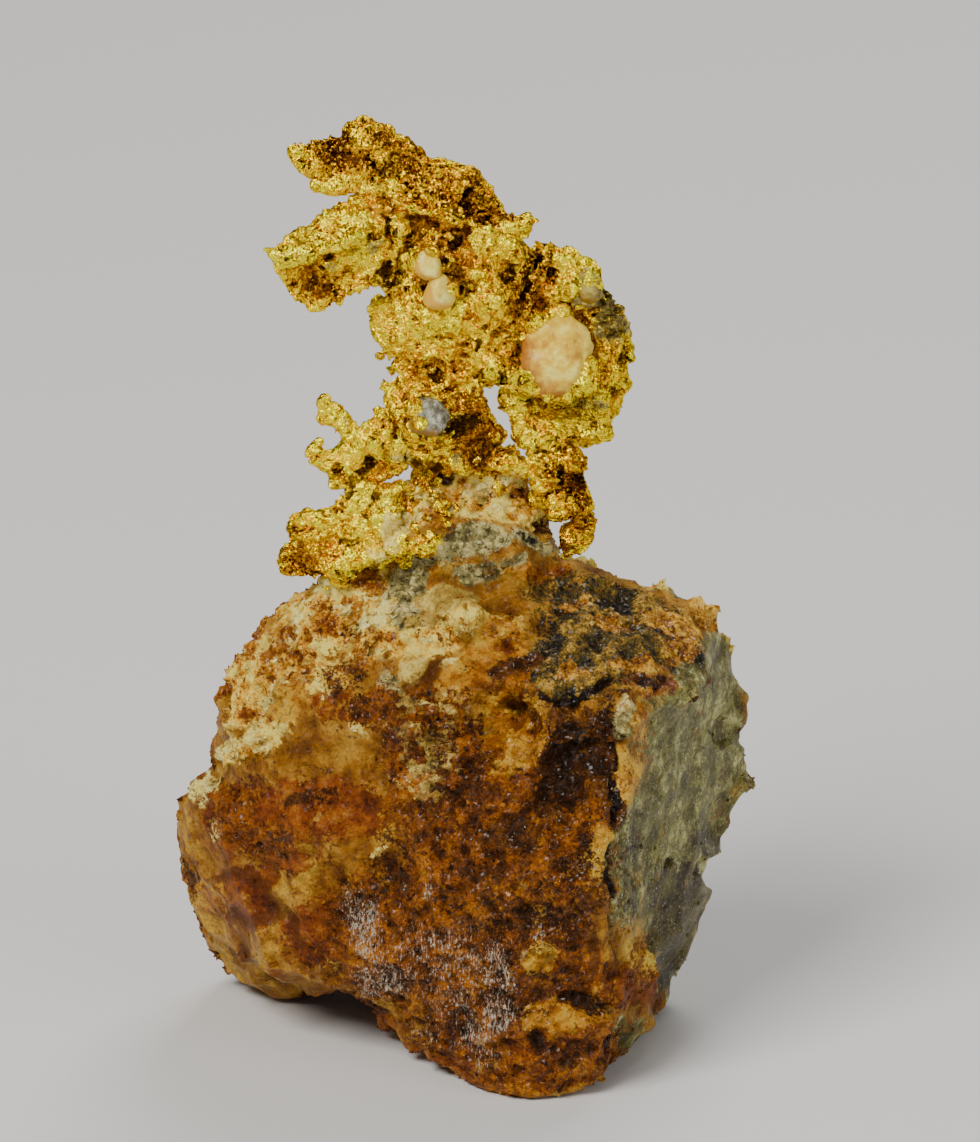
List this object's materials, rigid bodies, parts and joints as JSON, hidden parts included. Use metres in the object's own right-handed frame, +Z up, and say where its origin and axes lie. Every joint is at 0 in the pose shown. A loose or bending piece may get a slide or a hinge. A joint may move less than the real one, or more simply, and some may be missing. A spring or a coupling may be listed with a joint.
{
  "type": "crystalline gold on quartz specimen",
  "caption": "Upright mass of hackly, leafy native gold with embedded quartz grains, standing on a blocky, iron-stained vein quartz matrix that rests on a flat face.",
  "frame": {"origin": "middle of the bounding box, on the face that the specimen rests on", "axes": "+Z up along the gold's growth, -Y towards the display side, +X to the pale slab"},
  "size_m": [0.0304, 0.0232, 0.0494],
  "materials": {
    "gold": "hackly native gold, bright on its crystal faces, with orange-brown iron film in the pits",
    "iron_stained_quartz": "fractured vein quartz, rusty and granular in front, glassy grey on its right slab",
    "milky_quartz": "waxy milky quartz with pinkish brown stain at its edge",
    "grey_quartz": "greasy grey quartz, finely fractured"
  },
  "bodies": {
    "root": {"gold_trunk": "gold", "gold_crest": "gold", "gold_beak_leaf": "gold", "gold_right_lobe": "gold", "gold_hanging_spur": "gold", "gold_left_spray": "gold", "gold_foot_sheet": "gold", "quartz_matrix": "iron_stained_quartz", "quartz_grain_large": "milky_quartz", "quartz_grain_upper": "milky_quartz", "quartz_grain_lower": "milky_quartz", "quartz_grain_grey": "grey_quartz", "quartz_grain_shoulder": "grey_quartz"}
  },
  "joints": []
}
